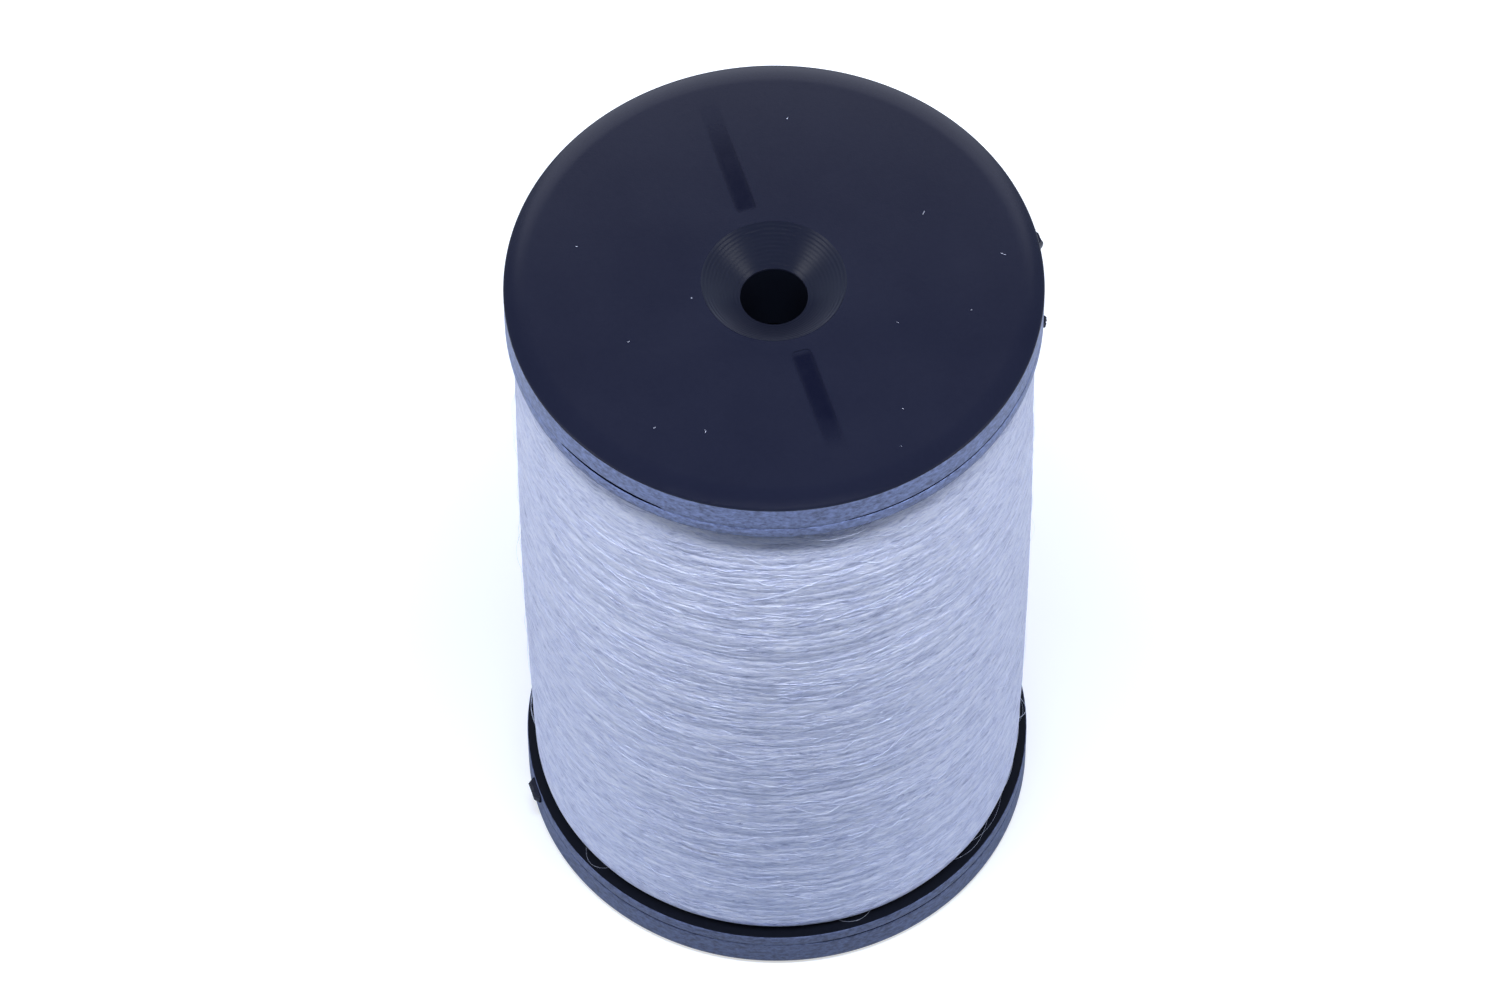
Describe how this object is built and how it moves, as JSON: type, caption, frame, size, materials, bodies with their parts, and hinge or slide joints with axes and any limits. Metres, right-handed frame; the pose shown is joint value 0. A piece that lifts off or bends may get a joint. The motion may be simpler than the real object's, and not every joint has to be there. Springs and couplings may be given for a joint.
{
  "type": "thread spool",
  "caption": "Small flanged spool full of fuzzy white thread, with pressed-in end caps, conical spindle seats and a slit round each flange for the loose end.",
  "frame": {"origin": "centre of the lower end face, on the surface that the spool stands on", "axes": "+Z along the spool's axis, from the lower end face to the upper one; +X to the right and +Y away from the viewer"},
  "size_m": [0.0255, 0.0254, 0.042],
  "materials": {
    "cap_plastic": "matte blue-black moulded plastic, satin on the rim",
    "flange_plastic": "satin blue-black moulded plastic",
    "thread": "soft, slightly fuzzy multifilament thread"
  },
  "bodies": {
    "root": {"barrel": "flange_plastic", "upper_cap": "cap_plastic", "lower_cap": "cap_plastic", "winding_core": "thread", "winding_outer": "thread", "thread_tail": "thread"}
  },
  "joints": []
}
